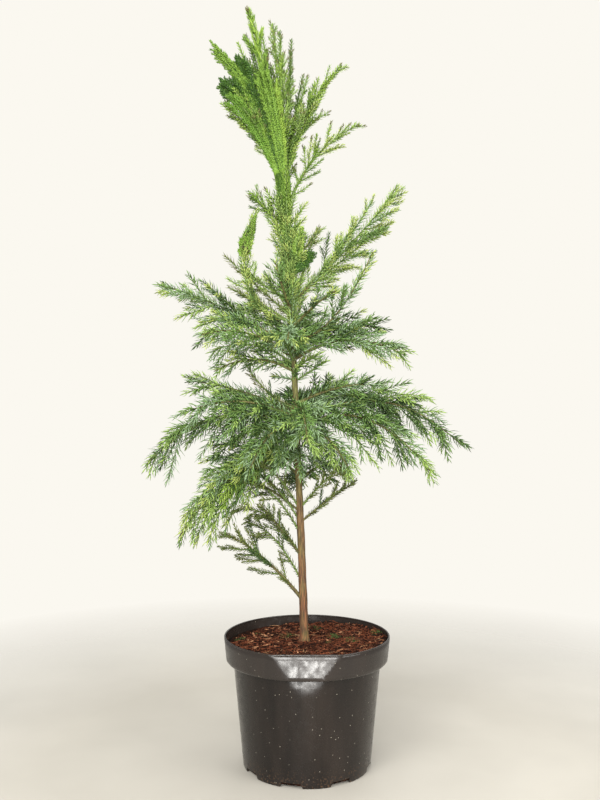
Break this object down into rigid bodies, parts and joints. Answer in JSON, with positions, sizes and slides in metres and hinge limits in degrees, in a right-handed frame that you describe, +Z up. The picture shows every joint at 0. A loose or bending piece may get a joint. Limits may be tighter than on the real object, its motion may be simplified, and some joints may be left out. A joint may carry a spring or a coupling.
{
  "type": "potted young cryptomeria",
  "caption": "Young conifer with a slim leaning trunk, whorls of arching needle-clad boughs and a crested top, standing in a round black nursery pot.",
  "frame": {"origin": "middle of the pot's flat underside", "axes": "+Z up along the trunk, -Y towards the front, +X to the right as seen from the front"},
  "size_m": [0.3715, 0.2602, 0.866],
  "materials": {
    "pot_plastic": "glossy near-black moulded plastic with a little dust",
    "soil": "reddish-brown bark and coir fibres with moss",
    "trunk_bark": "thin fibrous bark, reddish brown at the foot and olive above",
    "bough_bark": "young olive-brown bark under the needles' bases",
    "needles_bright": "fresh bright green needles with a soft gloss",
    "needles_green": "blue-grey green needles with yellow-green tips",
    "needles_olive": "dark olive short needles"
  },
  "bodies": {
    "root": {"pot": "pot_plastic", "soil": "soil", "trunk": "trunk_bark", "bough_rope_low_left": "bough_bark", "bough_bright_low_left": "bough_bark", "bough_whorl_left_long": "bough_bark", "bough_whorl_right_long": "bough_bark", "bough_whorl_right_front": "bough_bark", "bough_whorl_back": "bough_bark", "bough_middle_left_long": "bough_bark", "bough_middle_right": "bough_bark", "bough_upper_right_rising": "bough_bark", "mass_leader": "needles_bright", "mass_rope_low_left": "needles_olive", "mass_rope_left_inner": "needles_olive", "mass_rope_left_upper": "needles_olive", "mass_bright_low_left": "needles_green", "mass_rope_low_right": "needles_olive", "mass_low_back": "needles_olive", "mass_low_back_left": "needles_olive", "mass_low_back_right": "needles_olive", "mass_whorl_left_long": "needles_green", "mass_whorl_left_back": "needles_green", "mass_whorl_left_front": "needles_green", "mass_whorl_right_long": "needles_green", "mass_whorl_right_back": "needles_green", "mass_whorl_right_front": "needles_green", "mass_whorl_right_top": "needles_green", "mass_whorl_front": "needles_green", "mass_whorl_front_left": "needles_green", "mass_whorl_front_right": "needles_green", "mass_whorl_back": "needles_green", "mass_whorl_back_left": "needles_green", "mass_whorl_back_right": "needles_green", "mass_middle_left_long": "needles_green", "mass_middle_left_front": "needles_green", "mass_middle_left_low": "needles_green", "mass_middle_right": "needles_green", "mass_middle_right_back": "needles_green", "mass_middle_right_upright": "needles_green", "mass_middle_front": "needles_green", "mass_middle_front_right": "needles_green", "mass_middle_back": "needles_green", "mass_middle_back_left": "needles_green", "mass_upper_right_rising": "needles_green", "mass_upper_left_feather": "needles_green", "mass_upper_left_low": "needles_green", "mass_upper_front": "needles_green", "mass_upper_back": "needles_green", "mass_upper_back_right": "needles_green", "mass_neck_left": "needles_green", "mass_neck_front": "needles_bright", "mass_middle_front_high": "needles_green", "mass_neck_right": "needles_bright", "mass_neck_back": "needles_bright", "mass_top_right": "needles_bright", "mass_top_left": "needles_bright", "mass_crest": "needles_bright", "mass_top_middle": "needles_bright", "mass_top_front": "needles_bright"}
  },
  "joints": []
}
